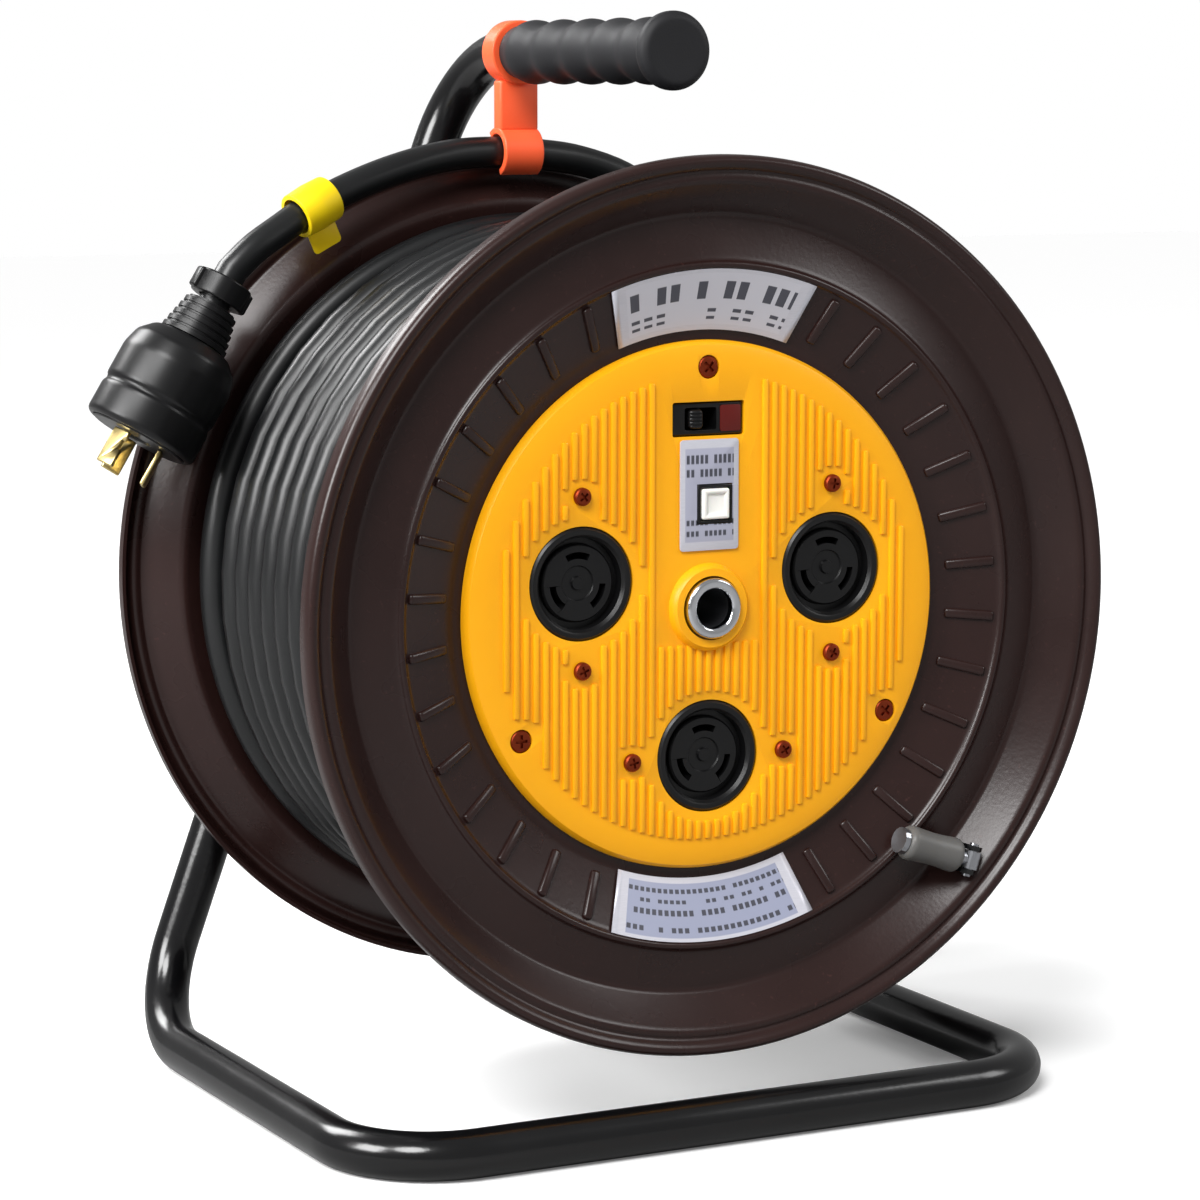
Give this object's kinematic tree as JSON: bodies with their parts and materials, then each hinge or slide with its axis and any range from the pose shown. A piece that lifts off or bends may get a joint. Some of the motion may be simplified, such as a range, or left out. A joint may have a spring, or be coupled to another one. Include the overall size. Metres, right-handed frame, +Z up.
{
  "type": "cable reel",
  "caption": "Portable cable-reel drum: rubber extension lead on a sheet-steel drum with twist-lock sockets, breaker and test button, in a bent-tube carrying stand.",
  "frame": {"origin": "floor level, under the middle of the stand", "axes": "+Z up, -Y out of the socket plate, the drum's axle along Y"},
  "size_m": [0.3129, 0.2178, 0.3688],
  "materials": {
    "flange_paint": "satin dark brown paint",
    "stand_paint": "gloss black paint",
    "zinc_steel": "zinc plated",
    "chrome_steel": "polished",
    "plate_plastic": "moulded yellow, ribbed",
    "black_plastic": "moulded black",
    "dark_screw": "dark red-brown",
    "white_plastic": "moulded white",
    "label_film": "silver-white film, blank",
    "grey_plastic": "moulded light grey",
    "grip_rubber": "moulded dark grey",
    "clip_plastic": "moulded orange-red",
    "cable_rubber": "extruded black sheath",
    "tag_vinyl": "yellow, blank",
    "brass": "bare brass",
    "bronze_bush": "sintered bronze"
  },
  "bodies": {
    "stand": {"stand_tube": "stand_paint", "axle_plate": "stand_paint", "leg_gusset": "stand_paint", "axle_tube": "zinc_steel", "axle_end_ring": "chrome_steel", "axle_spacer": "zinc_steel", "axle_nut": "zinc_steel", "handle_grip": "grip_rubber", "grip_end_cap": "grip_rubber", "cable_clip": "clip_plastic", "cable_tail": "cable_rubber", "cable_tag": "tag_vinyl", "plug_body": "black_plastic", "plug_neck": "black_plastic", "plug_collar": "black_plastic", "plug_face": "black_plastic", "plug_blade_1": "brass", "plug_blade_2": "brass", "plug_blade_3": "brass"},
    "drum": {"tie_rod_1": "zinc_steel", "tie_rod_2": "zinc_steel", "tie_rod_3": "zinc_steel", "tie_rod_4": "zinc_steel", "crank_bracket": "zinc_steel", "crank_pin": "zinc_steel", "front_flange": "flange_paint", "rear_flange": "flange_paint", "drum_core": "flange_paint", "rear_cover": "flange_paint", "cable_winding": "cable_rubber", "drum_lead": "cable_rubber", "sector_label_top": "label_film", "sector_label_bottom": "label_film", "test_label": "label_film", "face_plate": "plate_plastic", "front_bush": "bronze_bush", "rear_bush": "bronze_bush", "socket_left": "black_plastic", "socket_right": "black_plastic", "socket_bottom": "black_plastic", "breaker_body": "black_plastic", "test_frame": "black_plastic", "cable_gland": "black_plastic", "terminal_block": "black_plastic", "socket_screw_1": "dark_screw", "socket_screw_2": "dark_screw", "socket_screw_3": "dark_screw", "socket_screw_4": "dark_screw", "socket_screw_5": "dark_screw", "socket_screw_6": "dark_screw", "plate_screw_1": "dark_screw", "plate_screw_2": "dark_screw", "plate_screw_3": "dark_screw"},
    "breaker_lever": {"breaker_lever": "black_plastic"},
    "test_button": {"test_button": "white_plastic"},
    "crank_arm": {"crank_stem": "zinc_steel"},
    "crank_sleeve": {"crank_sleeve": "grey_plastic"}
  },
  "joints": [
    {"name": "drum_spin", "type": "hinge", "parent": "stand", "child": "drum", "pos_m": [0, -0.01155, 0.17535], "axis": [0, 1, 0], "continuous": true},
    {"name": "breaker_throw", "type": "hinge", "parent": "drum", "child": "breaker_lever", "pos_m": [-0.0025, -0.075, 0.23715], "axis": [0, 0, 1], "range_deg": [0, 32]},
    {"name": "test_press", "type": "slide", "parent": "drum", "child": "test_button", "axis": [0, 1, 0], "range_m": [0, 0.002], "stiffness_N_per_m": 500, "springref_m": -0.001},
    {"name": "crank_fold", "type": "hinge", "parent": "drum", "child": "crank_arm", "pos_m": [0.09626, -0.0934, 0.084], "axis": [0.3156, 0, 0.9489], "range_deg": [0, 90]},
    {"name": "crank_sleeve_spin", "type": "hinge", "parent": "crank_arm", "child": "crank_sleeve", "pos_m": [0.09626, -0.0934, 0.084], "axis": [-0.9489, 0, 0.3156], "continuous": true}
  ]
}
